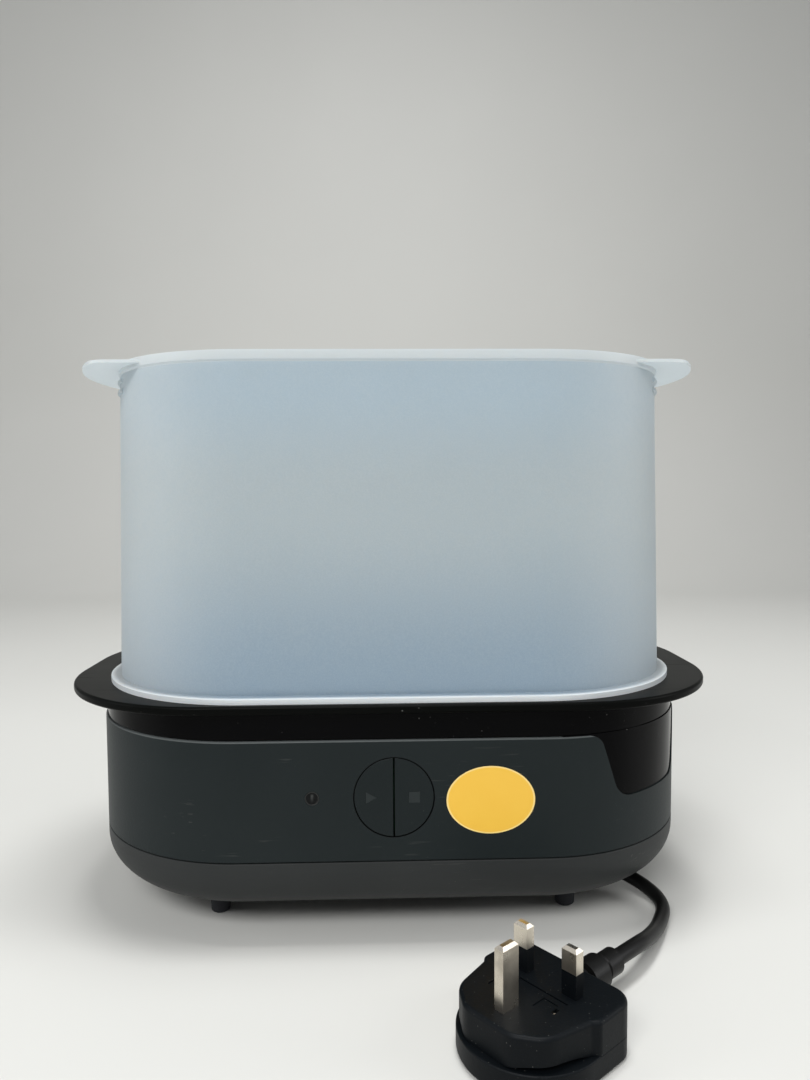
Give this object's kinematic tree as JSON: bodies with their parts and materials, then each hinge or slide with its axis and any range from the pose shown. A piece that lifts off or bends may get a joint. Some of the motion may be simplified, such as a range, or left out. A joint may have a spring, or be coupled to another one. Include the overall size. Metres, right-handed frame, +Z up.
{
  "type": "bottle sterilizer",
  "caption": "Electric steam sterilizer for baby bottles: oval base with controls and cord store, frosted lift-off chamber with ears, bottle rack, cord and plug.",
  "frame": {"origin": "on the surface it stands on, under the middle of the base", "axes": "+X along the long side, to the right seen from the front; front controls face -Y; +Z up"},
  "size_m": [0.3156, 0.2719, 0.2595],
  "materials": {
    "shell_grey": "fine satin grain",
    "panel_slate": "satin",
    "gloss_black": "high gloss",
    "deck_dark": "semi gloss",
    "button_black": "semi gloss",
    "frosted_clear": "frosted, milky and translucent",
    "natural_white": "satin",
    "sticker_amber": "printed film",
    "foot_rubber": "matt",
    "seal_silicone": "matt",
    "cord_black": "satin sheath",
    "plug_black": "fine grain",
    "pin_metal": "plain, slightly dulled",
    "stainless": "brushed",
    "zinc_steel": "zinc plated",
    "cast_alloy": "as cast",
    "phenolic": "matt",
    "board_green": "lacquered",
    "relay_blue": "satin",
    "can_aluminium": "smooth",
    "lamination": "varnished",
    "lens_clear": "clear",
    "led_epoxy": "clear tinted",
    "fitting_white": "satin",
    "fuse_ceramic": "glazed"
  },
  "bodies": {
    "base": {"lower_shell": "shell_grey", "upper_shell": "panel_slate", "gloss_collar": "gloss_black", "top_deck": "deck_dark", "heating_plate": "stainless", "plate_seal": "seal_silicone", "heat_spreader": "cast_alloy", "heating_element": "stainless", "plate_clamp": "zinc_steel", "clamp_screws": "zinc_steel", "thermostat": "phenolic", "thermal_fuse": "can_aluminium", "fuse_clip": "zinc_steel", "start_switch": "phenolic", "stop_switch": "phenolic", "control_board": "board_green", "board_screws": "zinc_steel", "indicator_lens": "lens_clear", "indicator_led": "led_epoxy", "relay": "relay_blue", "capacitor": "can_aluminium", "transformer": "lamination", "reminder_sticker": "sticker_amber", "terminal_block": "fitting_white", "cord_clamp": "phenolic", "cord_clamp_screws": "zinc_steel", "feet": "foot_rubber", "base_screws": "zinc_steel", "cord_grommet": "cord_black", "cord_winding": "cord_black", "cord": "cord_black", "plug_body": "plug_black", "plug_cover": "plug_black", "earth_pin": "pin_metal", "line_pin": "pin_metal", "neutral_pin": "pin_metal", "pin_sleeves": "plug_black", "fuse_carrier": "plug_black", "plug_fuse": "fuse_ceramic", "plug_strain_relief": "cord_black"},
    "chamber": {"chamber": "frosted_clear"},
    "bottle_rack": {"bottle_rack": "natural_white"},
    "start_button": {"start_button": "button_black", "start_plunger": "fitting_white"},
    "stop_button": {"stop_button": "button_black", "stop_plunger": "fitting_white"}
  },
  "joints": [
    {"name": "chamber_lift", "type": "slide", "parent": "base", "child": "chamber", "axis": [0, 0, 1], "range_m": [0, 0.2]},
    {"name": "rack_lift", "type": "slide", "parent": "base", "child": "bottle_rack", "axis": [0, 0, 1], "range_m": [0, 0.2]},
    {"name": "start_press", "type": "slide", "parent": "base", "child": "start_button", "axis": [0, 1, 0], "range_m": [0, 0.0012], "stiffness_N_per_m": 600},
    {"name": "stop_press", "type": "slide", "parent": "base", "child": "stop_button", "axis": [0, 1, 0], "range_m": [0, 0.0012], "stiffness_N_per_m": 600}
  ]
}
